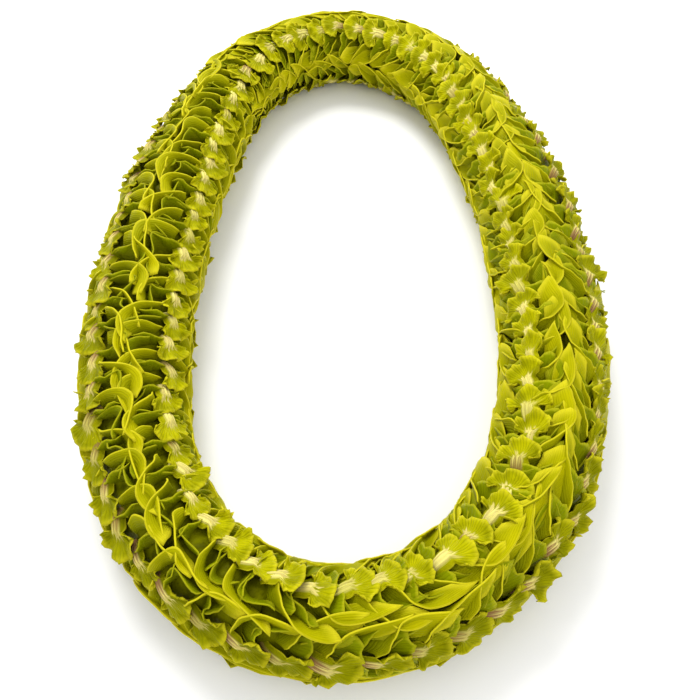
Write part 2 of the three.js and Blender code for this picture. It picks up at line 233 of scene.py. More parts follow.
def refine(net, samples_u, samples_v):
    """A net of control points (..., u, v, 3) as a finer grid through them."""
    wu = spline_weights(net.shape[-3], samples_u)
    wv = spline_weights(net.shape[-2], samples_v)
    return np.einsum("iu,...uvk,jv->...ijk", wu, net, wv)


# How thick a petal is at its rim, as a share of its thickness.
RIM_SHARE = 0.65
# No direction is taken from a shorter vector than this.
SHORTEST = 1e-9


def sheet_faces(nu, nv):
    """Quads of one closed petal: an outer grid, an inner grid and the rim that joins them."""
    index = np.arange(nu * nv).reshape(nu, nv)
    a, b, c, d = index[:-1, :-1], index[1:, :-1], index[1:, 1:], index[:-1, 1:]
    outer = np.stack([a, b, c, d], axis=-1).reshape(-1, 4)
    inner = outer[:, ::-1] + nu * nv
    loop = np.concatenate([index[0, :-1], index[:-1, -1], index[-1, :0:-1], index[:0:-1, 0]])
    ahead = np.roll(loop, -1)
    rim = np.stack([loop, ahead, ahead + nu * nv, loop + nu * nv], axis=-1)
    return np.concatenate([outer, inner, rim]).tolist()


def unit(vectors):
    return vectors / np.maximum(np.linalg.norm(vectors, axis=-1, keepdims=True), SHORTEST)


def grid_normals(points):
    return unit(np.cross(np.gradient(points, axis=-3), np.gradient(points, axis=-2)))


def thicken(points, thickness):
    """Both faces of a petal round its middle surface, thinner at the rim so that it rounds off."""
    nu, nv = points.shape[-3:-1]
    half = np.full((nu, nv), RIM_SHARE * thickness / 2)
    half[1:-1, 1:-1] = thickness / 2
    offset = grid_normals(points) * half[..., None]
    faces = np.stack([points + offset, points - offset], axis=1)
    faces[..., 2] = np.maximum(faces[..., 2], LOWEST_POINT)
    return faces


def petal_marks(count, nu, nv, numbers, side):
    """For each point: place along the petal, place across it, and the blossom's own number."""
    marks = np.zeros((count, 2, nu, nv, 3))
    marks[..., 0] = np.linspace(0, 1, nu)[:, None]
    marks[..., 1] = np.linspace(side, -side, nv)
    marks[..., 2] = numbers[:, None, None, None]
    return marks.reshape(-1, 3)


def make_object(name, points, faces, material, marks=None):
    """A smooth mesh object from points in millimetres and lists of corners."""
    mesh = bpy.data.meshes.new(name)
    mesh.from_pydata((points * MM).tolist(), [], faces)
    mesh.polygons.foreach_set("use_smooth", np.ones(len(mesh.polygons), bool))
    if marks is not None:
        attribute = mesh.attributes.new("petal", "FLOAT_VECTOR", "POINT")
        attribute.data.foreach_set("vector", marks.astype(np.float32).ravel())
    mesh.materials.append(material)
    mesh.update()
    piece = bpy.data.objects.new(name, mesh)
    bpy.context.scene.collection.objects.link(piece)
    return piece


def joined(parts):
    """Several meshes as one list of points and one of faces."""
    points, faces, count = [], [], 0
    for part_points, part_faces in parts:
        points.append(part_points)
        faces += [[int(corner) + count for corner in face] for face in part_faces]
        count += len(part_points)
    return np.concatenate(points), faces


def make_petals(name, sheets, thickness, material):
    """One piece of many petals, from sheets of middle surfaces (petal, u, v, 3), the blossoms' own
    numbers and their side."""
    parts, marks = [], []
    for grids, numbers, side in sheets:
        petals, nu, nv = grids.shape[:3]
        faces = sheet_faces(nu, nv)
        parts += [(petal.reshape(-1, 3), faces) for petal in thicken(grids, thickness)]
        marks.append(petal_marks(petals, nu, nv, numbers, side))
    return make_object(name, *joined(parts), material, np.concatenate(marks))


def settle(piece, node):
    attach(piece, "root")
    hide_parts(node)


# Nets of control points, each one (forward, angle, radius) from its blossom's own place. The
# nets are those of the petals on the side of the top or bottom crest, at negative angles.
# A hood runs from beside the claw, across the rope and then forward along the crest. Each of
# its stations goes from its lower margin to its flared rim.
HOOD_NET = np.array([
    [(0.6, -5, 16), (2.0, -7.5, 20), (2.6, -9.5, 23.2), (1.8, -10, 25.2)],
    [(0.6, -13, 15.5), (2.8, -16, 20.6), (3.8, -18.5, 24.4), (3.0, -19, 26.6)],
    [(1.2, -22, 15.5), (4.0, -26, 21), (5.4, -29, 25.2), (4.8, -30.5, 27.4)],
    [(2.8, -29, 16), (6.6, -35, 21.2), (8.8, -39, 25.6), (8.8, -42.5, 28)],
    [(6.5, -32, 17.5), (10.8, -38.5, 22), (13.2, -43.5, 25.8), (14.6, -48.5, 28.2)],
    [(12.5, -30, 20.8), (16.6, -37, 24), (19.2, -43.5, 26.4), (21, -50, 28)],
    [(20.5, -35.5, 24.8), (22.8, -40, 25.6), (24.6, -44.5, 26.4), (26, -48.5, 27)],
])
# A smaller inner hood stands half a step ahead of each hood and fills its hollow.
INNER_NET = np.array([
    [(6.4, -9, 17), (8.4, -11, 21), (9.4, -12, 24.4)],
    [(6.8, -19, 16.8), (9.6, -21.5, 21.4), (10.4, -23.5, 25.4)],
    [(8.2, -28, 17.2), (12, -32, 22), (13.4, -35, 26.2)],
    [(11.6, -32, 18.8), (16, -37.5, 23), (18.4, -42, 26.4)],
    [(18, -31, 22.4), (20.6, -36, 24.4), (22.4, -41, 26)],
])
# A tongue petal stands beside the claw, from its root to its far margin.
TONGUE_NET = np.array([
    [(2.6, 0, 15.5), (3.2, -8, 15.6), (3.4, -15, 15.6), (3.2, -22, 15.5), (2.8, -29, 15.4)],
    [(3.8, 2, 19.4), (4.9, -8.5, 20.2), (5.3, -17, 20.4), (4.9, -26, 20.2), (4.0, -35, 19.4)],
    [(5.0, 2, 23.2), (6.4, -9.5, 23.9), (6.9, -18.5, 24.2), (6.4, -28, 23.9), (5.4, -38.5, 23.2)],
    [(6.6, 0, 25.6), (7.2, -11, 26.4), (6.9, -19, 25.9), (7.6, -29, 26.4), (7.4, -38, 25.6)],
])
# The lip's middle, from its root to its far end, as (forward, sideways, outward), and half the
# width of its claw at the same places.
LIP_MIDRIB = np.array([
    (-0.5, 0, 19), (2.6, 0.6, 23), (6.4, 1.8, 25), (10.6, 3.4, 25.2), (14.6, 5.2, 25.4), (17.8, 6.8, 25)
])
LIP_CLAW_HALF_WIDTH = np.array([2.4, 3.8, 4.6, 3.0, 1.4, 0.0])

# How many points each petal has along and across: on top of the rope, and under it.
HOOD_GRIDS = ((23, 9), (15, 6))
INNER_GRIDS = ((13, 6), (9, 5))
TONGUE_GRIDS = ((8, 7), (6, 5))
LIP_GRIDS = ((18, 27), (13, 9))

# Where no comment says more, a pair is the range of a seeded number, or where something starts
# and is full, as a share of the petal, and an angle is in degrees.

# A net's seeded shifts as (forward, angle, radius), how much of them is left at its fixed
# margin, and how much each of its points moves on its own.
HOOD_SPREAD = np.array([1.2, 2.2, 0.6])
TONGUE_SPREAD = np.array([0.9, 2.2, 0.8])
FIXED_MARGIN_SHARE = 0.15
OWN_SHARE = 0.25

# Past this radius a petal leans forward: millimetres for each millimetre outward, where it
# stands and where it lies.
LEAN_FROM_RADIUS = 16.0
HOOD_LEAN = (-0.55, 0.75)
TONGUE_LEAN = (-0.5, 1.3)
TONGUE_STEP_STANDING = 2.4

# A hood's tip: its reach, and how it narrows where it stands and broadens where it lies.
TIP = (0.45, 1.0)
TIP_REACH_STANDING = 2.5
TIP_REACH_LYING = 1.0
HOOD_SWEEP = 5.0
TIP_NARROWING = (0.3, 1.0)
TIP_NARROWED = 0.8
TIP_SINKING = 5.0
TIP_BROADENING = 4.5
TIP_BROAD_RISE = 1.6
TIP_STRAY_ROUND = (-7, 13)
TIP_STRAY_FORWARD = (-5, 1.5)

# A hood's rim: its slow roll, and the short ripples on it.
ROLL_WAVES = (1.2, 2.6)
ROLL_LYING = 4.0
ROLL_MORE_STANDING = 4.0
ROLL_FORWARD = 1.3
RIPPLES = (3, 6)
RIPPLE_FORWARD = 0.22
RIPPLE_OUTWARD = 0.18

# A tongue petal's far margin: its torn edge and its wave.
TONGUE_TORN = (0.8, 1.0)
TONGUE_TORN_DEPTH = 0.45
TONGUE_WAVE = 0.8
TONGUE_WAVE_TURN = 4.5

# The lip as a whole: its size, how it turns and tilts, and how round it lies on the rope.
LIP_SIZES = (0.86, 1.12)
LIP_TURNS = (-9, 15)
LIP_TILT = 1.0
LIP_ROUND_RADIUS = 19.0
INNER_LIP_GROWTH = 0.1
INNER_LIP_SHIFT = 2.6
INNER_LIP_RISE = 0.6
INNER_LIP_TURN = 18.0

# The fan opens from this share of the midrib, to this angle on each side of it. Its margin has
# shallow scallops and a notch in the middle.
FAN_START = 0.47
FAN_HALF_ANGLE = math.radians(98)
FAN = (0.38, 0.62)
FAN_MARGIN = (0.55, 1.0)
EAR_ROUNDING = 0.24
SCALLOPS = 2.2
SCALLOP_DEPTH = 0.5
NOTCH_DEPTH = 1.0
NOTCH_HALF_WIDTH = 0.12

# The fan's ruffles: waves with their turns (across, along), a flare, a roll, small crinkles
# and torn teeth.
WAVE_TURNS = (1.5, 0.9)
WAVE_HEIGHT = 1.7
WAVE_SHARES = (0.5, 1.2)
CRIMP_TURNS = (3.1, -1.2)
CRIMP_HEIGHT = 1.0
FLARES = (0.2, 3.0)
LIP_ROLLS = (-0.22, 0.22)
CRINKLES = 4.2
CRINKLE_DEPTH = 0.5
TEETH = (0.86, 1.0)
TOOTH_LENGTH = 0.3

# The claw: its arch, its height, its ridges and the jagged step that it stops with.
CLAW_ARCH = 1.3
CLAW_RISE = (0.02, 0.2)
CLAW_HEIGHT = 1.1
CLAW_HALF_SHARE = 0.7
RIDGES = 2.6
RIDGE_HEIGHT = 0.55
CLAW_STOP = 0.5
CLAW_STOP_JAGS = 0.04
CLAW_STOP_BEFORE = 0.03
CLAW_STOP_AFTER = 0.05


def places(nu, nv, low=0):
    """Places along a petal from 0 to 1, and across it from the given one to 1."""
    return np.linspace(0, 1, nu)[None, :, None], np.linspace(low, 1, nv)[None, None, :]


def varied(net, blossoms, spreads):
    """The net for each blossom, with seeded shifts that grow towards the free margins."""
    growing = np.linspace(FIXED_MARGIN_SHARE, 1, net.shape[1])[None, None, :, None]
    whole = blossoms.random.normal(0, 1, (blossoms.count, 1, 1, 3)) * spreads
    own = OWN_SHARE * blossoms.random.normal(0, 1, (blossoms.count, *net.shape[:2], 3)) * spreads
    return net[None] + (whole + own) * growing


def mirrored(net, side):
    """The net on the other side of the blossom, with the same face outward."""
    if side < 0:
        return net
    return net[..., ::-1, :] * np.array([1.0, -1.0, 1.0])


def leaned(net, blossoms, standing, lying):
    """The net with its upper part moved along the rope: millimetres forward for each outward."""
    share = blossoms.lying[:, None, None]
    lean = standing + (lying - standing) * share
    net[..., 0] += lean * (net[..., 2] - LEAN_FROM_RADIUS)
    return net


def hoods(blossoms, side, grid, net=HOOD_NET):
    """Crest petals: cupped sheets whose tips run forward along a crest."""
    stations, heights = places(*net.shape[:2])
    net = varied(net, blossoms, HOOD_SPREAD)
    net = leaned(net, blossoms, *HOOD_LEAN)
    tip = smooth_step(*TIP, stations)
    # Where they stand the tips keep their reach, and where they lie they sweep farther.
    lying = blossoms.lying[:, None, None]
    standing = 1 - lying
    reach = tip * (TIP_REACH_STANDING * standing + TIP_REACH_LYING * lying)
    net[..., 0] += reach + lying * HOOD_SWEEP * stations
    # Where they stand the tips are narrow and upright, and where they lie they are broad.
    narrow = standing * tip * blossoms.draw(*TIP_NARROWING)
    broad = lying * tip * (1 - heights)
    rim = net[..., -1:, 1]
    net[..., 1] = rim + (net[..., 1] - rim) * (1 - TIP_NARROWED * narrow) + TIP_BROADENING * broad
    net[..., 2] += TIP_BROAD_RISE * broad - TIP_SINKING * narrow * (1 - heights)
    # Some tips curl back over their own row, and some cross the crest.
    net[..., 1] += tip * blossoms.draw(*TIP_STRAY_ROUND)
    net[..., 0] += tip * blossoms.draw(*TIP_STRAY_FORWARD)
    # The rim rolls out or in as it goes.
    roll = np.sin(np.pi * (stations * blossoms.draw(*ROLL_WAVES) + blossoms.draw(0, 2)))
    net[..., 1] += (ROLL_LYING + ROLL_MORE_STANDING * standing) * roll * heights**2
    net[..., 0] += ROLL_FORWARD * roll * heights**2
    fine = refine(mirrored(net, side), *grid)
    # Short ripples run along the rim.
    u, v = places(*grid)
    ripple = np.sin(2 * np.pi * (blossoms.draw(*RIPPLES) * u + blossoms.draw(0, 1)))
    rim = (v if side < 0 else 1 - v) ** 3
    fine[..., 0] += RIPPLE_FORWARD * ripple * rim
    fine[..., 2] += RIPPLE_OUTWARD * ripple * rim
    return blossoms.place(fine[..., 0], fine[..., 1], fine[..., 2])


def inner_hoods(blossoms, side, grid):
    """Smaller petals inside the hoods."""
    return hoods(blossoms, side, grid, INNER_NET)


def tongue_petals(blossoms, side, grid):
    """Smooth petals beside the claw, in front of the hoods."""
    net = varied(TONGUE_NET, blossoms, TONGUE_SPREAD)
    net = leaned(net, blossoms, *TONGUE_LEAN)
    net[..., 0] += TONGUE_STEP_STANDING * (1 - blossoms.lying[:, None, None])
    fine = refine(mirrored(net, side), *grid)
    u, v = places(*grid, low=-1)
    torn = blossoms.draw(-1, 1, nv=grid[1]) * smooth_step(*TONGUE_TORN, u)
    fine[..., 2] += TONGUE_TORN_DEPTH * torn
    fine[..., 0] += TONGUE_WAVE * u * np.sin(TONGUE_WAVE_TURN * v + blossoms.phase())
    return blossoms.place(fine[..., 0], fine[..., 1], fine[..., 2])


def lip_frame(samples):
    """The lip's midrib, its directions ahead and outward, and half the width of its claw."""
    weights = spline_weights(len(LIP_MIDRIB), samples)
    midrib = weights @ LIP_MIDRIB
    ahead = unit(np.gradient(midrib, axis=0))
    outward = unit(np.array([0.0, 0.0, 1.0]) - ahead * ahead[:, 2:])
    return midrib, ahead, outward, (weights @ LIP_CLAW_HALF_WIDTH)[None, :, None]


def lip_outline(midrib, claw_half, u, v):
    """How far the lip's points lie beside the midrib, and how far back from it."""
    length = path_lengths(midrib)
    open_length = np.maximum(0, length - np.interp(FAN_START, u.ravel(), length))[None, :, None]
    open_length = open_length * (1 - EAR_ROUNDING * np.abs(v) ** 4)
    notch = NOTCH_DEPTH * np.exp(-((v / NOTCH_HALF_WIDTH) ** 2))
    scallops = SCALLOP_DEPTH * np.cos(2 * np.pi * SCALLOPS * v) - notch
    turn = FAN_HALF_ANGLE * v
    beside = claw_half * v + open_length * np.sin(turn)
    back = open_length * (1 - np.cos(turn)) - smooth_step(*FAN_MARGIN, u) * scallops * np.cos(turn)
    return beside, back


def claw_lift(u, v):
    """Raised ridges that end in a jagged step in the middle of the lip."""
    ridge = 0.5 + 0.5 * np.cos(2 * np.pi * RIDGES * v)
    stop = CLAW_STOP + CLAW_STOP_JAGS * np.cos(2 * np.pi * RIDGES * v + 1)
    ended = smooth_step(stop - CLAW_STOP_BEFORE, stop + CLAW_STOP_AFTER, u)
    claw = (1 - ended) * np.exp(-((v / CLAW_HALF_SHARE) ** 4))
    return claw * (CLAW_HEIGHT * smooth_step(*CLAW_RISE, u) + RIDGE_HEIGHT * ridge)


def ruffle(blossoms, turns, u, v):
    """A wave over the lip, with its turns across and along it."""
    return np.sin(2 * np.pi * (turns[0] * v + turns[1] * u) + blossoms.phase())


def lips(blossoms, _side, grid):
    """Ruffled lips: a raised ridged claw, then a fan that spreads away from the crest."""
    nu, nv = grid
    u, v = places(nu, nv, low=-1)
    midrib, ahead, outward, claw_half = lip_frame(nu)
    # Where the petals lie, the inner rows keep close to the crest and stand a little higher.
    inner = (blossoms.inner * blossoms.lying)[:, None, None]
    size = blossoms.draw(*LIP_SIZES) * (1 + INNER_LIP_GROWTH * inner)
    beside, back = lip_outline(midrib, claw_half, u, v)
    reach = beside * size
    # The claw is arched, and the fan follows the rope round.
    fan = smooth_step(*FAN, u)
    drop = reach**2 / (2 * LIP_ROUND_RADIUS) + CLAW_ARCH * (1 - fan) * v**2
    # Deep waves in the fan's margin, and a torn edge.
    rim = np.maximum(smooth_step(*FAN_MARGIN, u) ** 1.5, fan * np.abs(v) ** 2)
    wave = ruffle(blossoms, WAVE_TURNS, u, v)
    crimp = ruffle(blossoms, CRIMP_TURNS, u, v)
    roll = blossoms.draw(*LIP_ROLLS) * reach
    wave = WAVE_HEIGHT * blossoms.draw(*WAVE_SHARES) * wave
    frill = wave + CRIMP_HEIGHT * crimp + blossoms.draw(*FLARES)
    teeth = TOOTH_LENGTH * blossoms.draw(-1, 1, nv=nv) * smooth_step(*TEETH, u)
    side_teeth = TOOTH_LENGTH * blossoms.draw(-1, 1, nu=nu) * np.abs(v) ** 10 * fan
    # Crinkles show only where the grid is fine enough for them.
    if nv > 4 * CRINKLES:
        frill = frill + CRINKLE_DEPTH * np.cos(2 * np.pi * CRINKLES * v + blossoms.phase())
    lift = rim * frill + roll - drop + claw_lift(u, v)
    points = (
        midrib[:, None]
        + np.cross(outward, ahead)[:, None] * (reach + side_teeth)[..., None]
        + outward[:, None] * lift[..., None]
        + ahead[:, None] * (teeth - back * size)[..., None]
    )
    points = points + blossoms.random.normal(0, LIP_TILT, (blossoms.count, 1, 1, 3)) * u[..., None]
    forward, sideways, up = np.moveaxis(points, -1, 0)
    sideways = sideways - INNER_LIP_SHIFT * inner
    up = up + INNER_LIP_RISE * inner * u
    turn = np.radians(blossoms.draw(*LIP_TURNS) - INNER_LIP_TURN * inner)
    beside = forward * np.sin(turn) + sideways * np.cos(turn)
    forward = forward * np.cos(turn) - sideways * np.sin(turn)
    return blossoms.place(forward, np.degrees(np.arctan2(beside, up)), np.hypot(beside, up))


HEART_RADIUS = 20.2
HEART_ROWS = 21
HEART_COLUMNS = 36
CHANNEL_RADIUS = 1.4
CHANNEL_ROWS = 7
SECTION_GAP = 0.3
TIE_SPACE = 3.8
CORE_START = 0.9 - PITCH / 4
# The hearts' lumps and finer grain, with the grain's turns (round, along the rope).
LUMPS_ROUND = 4
LUMP_HEIGHT = 1.4
GRAIN_TURNS = ((11, 0.9), (5, 1.7))
GRAIN_HEIGHT = 0.5


def grid_of(along, columns):
    """A grid of distances along the rope and angles round it."""
    angle = np.linspace(0, 360, columns, endpoint=False)[None, :] + np.zeros((len(along), 1))
    return np.array(along)[:, None] + np.zeros((1, columns)), angle


def ring_walls(index, inward=False):
    """Quads between the rows of a grid that closes round."""
    ahead = np.roll(index, -1, axis=1)
    walls = np.stack([index[:-1], ahead[:-1], ahead[1:], index[1:]], axis=-1).reshape(-1, 4)
    return walls[:, ::-1] if inward else walls


def heart_core(section):
    """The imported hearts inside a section: a lumpy closed sleeve round the thread's channel."""
    at_start = TIE_SPACE / 2 if section == 0 else SECTION_GAP / 2
    at_end = TIE_SPACE / 2 if section == SECTIONS - 1 else SECTION_GAP / 2
    start = CORE_START + PITCH * section * LAYERS_PER_SECTION + at_start
    end = CORE_START + PITCH * (section + 1) * LAYERS_PER_SECTION - at_end
    along, angle = grid_of(np.linspace(start, end, HEART_ROWS), HEART_COLUMNS)
    turn = np.radians(angle)
    lumps = np.sin(turn * LUMPS_ROUND) * np.cos(2 * np.pi * along / PITCH)
    one, other = (np.sin(turn * round_it + along * along_it) for round_it, along_it in GRAIN_TURNS)
    outer = rope_points(along, angle, HEART_RADIUS + LUMP_HEIGHT * lumps + GRAIN_HEIGHT * (one * other))
    inner_along, inner_angle = grid_of(np.linspace(start, end, CHANNEL_ROWS), HEART_COLUMNS)
    inner = rope_points(inner_along, inner_angle, CHANNEL_RADIUS + 0 * inner_along)
    points = np.concatenate([outer.reshape(-1, 3), inner.reshape(-1, 3)])
    skin = np.arange(HEART_ROWS * HEART_COLUMNS).reshape(HEART_ROWS, HEART_COLUMNS)
    channel = np.arange(CHANNEL_ROWS * HEART_COLUMNS).reshape(CHANNEL_ROWS, HEART_COLUMNS) + skin.size
    faces = [
        ring_walls(skin),
        ring_walls(channel, inward=True),
        ring_walls(np.stack([channel[0], skin[0]])),
        ring_walls(np.stack([skin[-1], channel[-1]])),
    ]
    return points, np.concatenate(faces).tolist()


STRANDS = 3
STRAND_RADIUS = 0.36
STRAND_OFFSET = 0.39
STRAND_SIDES = 6
STRAND_LAY = 4.6
THREAD_STEP = 1.5
TIE_ALONG = CORE_START
KNOT_SIZE = 0.62
KNOT_CORD = 0.55
KNOT_STEPS = 90
TAIL_REACH = 31.5
TAIL_LEAN_SHARE = 1.32
TAIL_STEPS = 60
TAIL_ANGLE = 90.0
TAIL_STRANDS = 2
TAIL_STRAND_RADIUS = 0.3
TAIL_STRAND_OFFSET = 0.25
TAIL_LAY = 3.2
TAIL_FRAY_FROM = 0.88
TAIL_FRAY = 0.9
# No thread runs along this direction.
TUBE_HELPER = np.array([0.137, 0.219, 0.966])


def tube(path, radius, closed):
    """A smooth tube of even radius round a path of points."""
    if closed:
        ahead = np.roll(path, -1, axis=0) - np.roll(path, 1, axis=0)
    else:
        ahead = np.gradient(path, axis=0)
    ahead = unit(ahead)
    side = unit(np.cross(ahead, TUBE_HELPER))
    up = np.cross(side, ahead)
    turn = np.linspace(0, 2 * np.pi, STRAND_SIDES, endpoint=False)[None, :, None]
    rings = path[:, None] + radius * (np.cos(turn) * up[:, None] + np.sin(turn) * side[:, None])
    index = np.arange(len(path) * STRAND_SIDES).reshape(len(path), STRAND_SIDES)
    if closed:
        walls = ring_walls(np.concatenate([index, index[:1]]), inward=True)
        return rings.reshape(-1, 3), walls.tolist()
    points = np.concatenate([rings.reshape(-1, 3), path[[0, -1]]])
    first, last = index.size, index.size + 1
    walls = ring_walls(index, inward=True).tolist()
    walls += [[first, a, b] for a, b in zip(index[0], np.roll(index[0], -1))]
    walls += [[last, b, a] for a, b in zip(index[-1], np.roll(index[-1], -1))]
    return points, walls


def thread_strands():
    """The loop's strands, laid round each other along the rope's middle line."""
    steps = int(RING_LENGTH / THREAD_STEP)
    along = np.linspace(0, RING_LENGTH, steps, endpoint=False)
    turns = round(RING_LENGTH / STRAND_LAY)
    for strand in range(STRANDS):
        lay = 360.0 * (turns * along / RING_LENGTH + strand / STRANDS)
        yield tube(rope_points(along, lay, STRAND_OFFSET + 0 * along), STRAND_RADIUS, True)


def thread_knot():
    """The overhand knot at the tie."""
    t = np.linspace(0, 2 * np.pi, KNOT_STEPS, endpoint=False)
    x = np.sin(t) + 2 * np.sin(2 * t)
    y = np.cos(t) - 2 * np.cos(2 * t)
    z = -np.sin(3 * t)
    middle = rope_points(np.array(TIE_ALONG), np.array(0.0), np.array(0.0))
    yield tube(middle + KNOT_SIZE * np.stack([x, z, y], axis=-1), KNOT_CORD, True)


def thread_tail():
    """The tail that comes out between two crest petals on the outside of the ring."""
    radius = np.linspace(0, TAIL_REACH, TAIL_STEPS)
    share = np.clip((radius - CORE_RADIUS) / LEAN_DEPTH, 0, 1)
    along = TIE_ALONG + TAIL_LEAN_SHARE * LEAN_RUN * share**LEAN_POWER
    middle = rope_points(along, TAIL_ANGLE + 0 * radius, radius)
    ahead = unit(np.gradient(middle, axis=0))
    side = unit(np.cross(np.array([0.0, 0.0, 1.0]), ahead))
    up = np.cross(ahead, side)
    walked = path_lengths(middle)
    for strand in range(TAIL_STRANDS):
        lay = (2 * np.pi * (walked / TAIL_LAY + strand / TAIL_STRANDS))[:, None]
        spread = 1 + TAIL_FRAY * smooth_step(TAIL_FRAY_FROM, 1.0, walked / walked[-1])[:, None]
        shift = TAIL_STRAND_OFFSET * spread * (np.cos(lay) * side + np.sin(lay) * up)
        yield tube(middle + shift, TAIL_STRAND_RADIUS, False)


def linear(red, green, blue):
    """A colour given in 0 to 255, as the linear values that a shader takes."""
    def one(value):
        share = value / 255
        return share / 12.92 if share <= 0.04045 else ((share + 0.055) / 1.055) ** 2.4
    return one(red), one(green), one(blue)


def colour_property(name, description, colour):
    return FloatVectorProperty(
        name=name, description=description, default=linear(*colour), subtype="COLOR", size=3, min=0, max=1
    )


def size_property(name, description, default, least=0.0002):
    return FloatProperty(name=name, description=description, default=default, unit="LENGTH", min=least)


class LeiColours(bpy.types.PropertyGroup):
    """Colours of the petals and the thread."""

    fan: colour_property("Lip fan", "Ruffled part of the lip", (178, 175, 2))
    # Painted shade: this colour darkens the fans of the outer rows, and it is also the greener patches and
    # veins of the lips.
    fan_deeper_and_painted_shade: colour_property("Lip fan shade", "Greener lips and the lip's veins", (102, 106, 0))
    claw: colour_property("Claw ridges", "Pale ridges in the middle of the lip", (240, 228, 130))
    claw_root: colour_property("Claw root", "Brown tint at the root of some claws", (116, 60, 48))
    # Painted highlight: the free margins of the petals are tinted toward this colour.
    rim: colour_property("Petal rim", "Thin bright margin of a petal", (222, 210, 40))
    crest_tip: colour_property("Crest petal tip", "Far end of the crest petals", (180, 174, 2))
    # Painted shade: the crest petals go to this colour toward their roots and lower margins, deep in the
    # rope; it also deepens their patches and veins.
    crest_deeper_and_painted_shade: colour_property("Crest petal root", "Near end of the crest petals", (118, 122, 0))
    tongue: colour_property("Tongue petal", "Smooth petals beside the lip", (127, 137, 0))
    # Painted shade: the tongue petals go to this colour where they go down into the rope, and the inner
    # petals toward their roots and lower margins; it also deepens their patches and veins.
    tongue_deeper_and_painted_shade: colour_property("Tongue petal root", "Where the tongue petals go down", (102, 106, 0))
    # Painted shade: the hearts are kept dark to stand for the deep shade in the pockets between the petals.
    heart: colour_property("Hearts", "Packed hearts inside the rope", (110, 112, 0))
    thread: colour_property("Thread", "Twisted stringing thread", (142, 150, 88))
    floor: colour_property("Floor", "Plain pale floor", (250, 250, 250))


class LeiSizes(bpy.types.PropertyGroup):
    """Sizes of the petals and the floor."""

    lip_thickness: size_property("Lip thickness", "Thickness of a lip", 0.0005)
    crest_thickness: size_property("Crest petal thickness", "Thickness of a crest petal", 0.0009)
    tongue_thickness: size_property("Tongue petal thickness", "Thickness of a tongue petal", 0.0006)
    seed: IntProperty(
        name="Seed", description="Number that the petals' small differences grow from", default=1000
    )
    floor_width: size_property("Floor width", "Side of the square floor", 12.0, least=1.0)


class NodeSheet:
    """Short words for laying out the nodes of one material or group."""

    def __init__(self, tree):
        self.tree = tree

    def feed(self, socket, value):
        if isinstance(value, bpy.types.NodeSocket):
            self.tree.links.new(value, socket)
        elif socket.type == "RGBA" and len(value) == 3:
            socket.default_value = (*value, 1)
        else:
            socket.default_value = value

    def fill(self, sockets, values):
        """Feed sockets by their names or numbers."""
        for place, value in values.items():
            self.feed(sockets[place], value)

    def add(self, kind, inputs=None, **settings):
        """The outputs of a new node, once it has its settings and inputs."""
        node = self.tree.nodes.new(kind)
        for name, value in settings.items():
            setattr(node, name, value)
        self.fill(node.inputs, inputs or {})
        return node.outputs

    def math(self, operation, *values, clamp=False):
        return self.add("ShaderNodeMath", dict(enumerate(values)), operation=operation, use_clamp=clamp)[0]

    def times(self, first, second):
        return self.math("MULTIPLY", first, second)

    def plus(self, first, second):
        return self.math("ADD", first, second)

    def minus(self, first, second):
        return self.math("SUBTRACT", first, second)

    def stretched(self, values, factors):
        return [self.times(value, factor) for value, factor in zip(values, factors)]

    def renumbered(self, number, factor):
        """Another number from 0 to 1 for each blossom."""
        return self.math("FRACT", self.times(number, factor))

    def vector(self, *values):
        return self.add("ShaderNodeCombineXYZ", dict(enumerate(values)))[0]

    def mix(self, factor, first, second):
        return self.add("ShaderNodeMix", {0: factor, 6: first, 7: second}, data_type="RGBA")[2]

    def tint(self, colour, toward, by, amount):
        """The colour moved toward another one where a mark is strong."""
        return self.mix(self.times(by, amount), colour, toward)

    def between(self, value, low, high, to_low=0.0, to_high=1.0, smooth=True):
        kind = "SMOOTHSTEP" if smooth else "LINEAR"
        values = dict(enumerate((value, low, high, to_low, to_high)))
        return self.add("ShaderNodeMapRange", values, interpolation_type=kind)[0]

    def noise(self, vector, scale, detail=2.0, roughness=0.5):
        values = {"Vector": vector, "Scale": scale, "Detail": detail, "Roughness": roughness}
        return self.add("ShaderNodeTexNoise", values)["Fac"]

    def group(self, build, name, **values):
        """The outputs of a group of nodes that materials share, built at its first use."""
        if name not in bpy.data.node_groups:
            tree = bpy.data.node_groups.new(name, "ShaderNodeTree")
            for label in values:
                tree.interface.new_socket(label, in_out="INPUT", socket_type="NodeSocketFloat")
            outputs = build(NodeSheet(tree), tree.nodes.new("NodeGroupInput").outputs)
            for label in outputs:
                tree.interface.new_socket(label, in_out="OUTPUT", socket_type="NodeSocketFloat")
            NodeSheet(tree).fill(tree.nodes.new("NodeGroupOutput").inputs, outputs)
        return self.add("ShaderNodeGroup", values, node_tree=bpy.data.node_groups[name])


# A pair is where a mark starts and where it is full: as a share of the petal's length or half
# width, of the noise that draws it, or by the blossom's own number.
# The margin mark is where a painted highlight runs along a petal's free edges.
MARGIN = (0.84, 1.0)
PATCHES = (0.36, 0.64)
ROUGH_SKIN = (0.4, 1.0)
# Painted shade: from this blossom number on, the lip fans of the outer rows are darker.
OUTER_ROW_PAINTED_SHADE = (0.45, 0.6)
CLAW_SIDES = (0.66, 0.4)
CLAW_END = (0.88, 0.78)
CLAW_STRIPE = (0.36, 0.6)
CLAW_ROOT = (0.56, 0.26)
BROWN_ROOTS = (0.3, 0.5)

# The least and the greatest roughness of a skin and strength of a claw, and how many stripes a
# claw has on each side of its middle.
ROUGHNESS = (0.34, 0.58)
CLAW_STRENGTHS = (0.6, 1.0)
CLAW_STRIPES = 5.2

